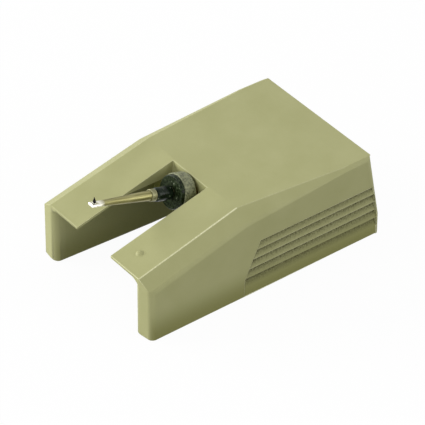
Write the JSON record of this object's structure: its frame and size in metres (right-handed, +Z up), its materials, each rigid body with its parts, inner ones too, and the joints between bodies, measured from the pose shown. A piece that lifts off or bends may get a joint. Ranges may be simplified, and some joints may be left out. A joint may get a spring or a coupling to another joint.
{
  "type": "turntable stylus",
  "caption": "Slip-on turntable stylus: a moulded holder with two arms and a slot, and a sprung tapered cantilever with a pointed tip on a plug-in suspension tube.",
  "frame": {"origin": "centre of the bounding box on the plane of the side walls' rims", "axes": "+Z up, from the open side to the side with the tip; -Y to the front, where the tip is; +Y to the rear, where the cartridge enters; +X across to the arm with the pip"},
  "size_m": [0.0126, 0.0204, 0.0084],
  "materials": {
    "holder_plastic": "khaki moulded plastic, satin",
    "tube_brass": "drawn brass tube",
    "seat_grey": "rough, speckled grey",
    "damper_rubber": "black rubber",
    "collar_rubber": "dark rubber with a slight gloss",
    "sleeve_metal": "turned, satin",
    "cantilever_aluminium": "drawn tube, bright at the flattened end",
    "shank_metal": "ground",
    "tip_diamond": "dark polished diamond",
    "magnet_metal": "plated magnet",
    "wire_steel": "fine drawn wire",
    "anchor_brass": "turned brass plug"
  },
  "bodies": {
    "holder": {"stylus_holder": "holder_plastic", "suspension_tube": "tube_brass", "damper_seat": "seat_grey", "damper_ring": "damper_rubber", "tension_wire": "wire_steel", "wire_anchor": "anchor_brass"},
    "collar": {"pivot_collar": "collar_rubber"},
    "stylus": {"joint_sleeve": "sleeve_metal", "cantilever": "cantilever_aluminium", "stylus_shank": "shank_metal", "diamond_tip": "tip_diamond", "magnet": "magnet_metal"}
  },
  "joints": [
    {"name": "cantilever_vertical", "type": "hinge", "parent": "holder", "child": "collar", "pos_m": [0, -0.00337, 0.00594], "axis": [1, 0, 0], "range_deg": [-2, 2], "stiffness_Nm_per_rad": 0.004},
    {"name": "cantilever_lateral", "type": "hinge", "parent": "collar", "child": "stylus", "pos_m": [0, -0.00337, 0.00594], "axis": [0, 0.2756, 0.9613], "range_deg": [-2, 2], "stiffness_Nm_per_rad": 0.004}
  ]
}
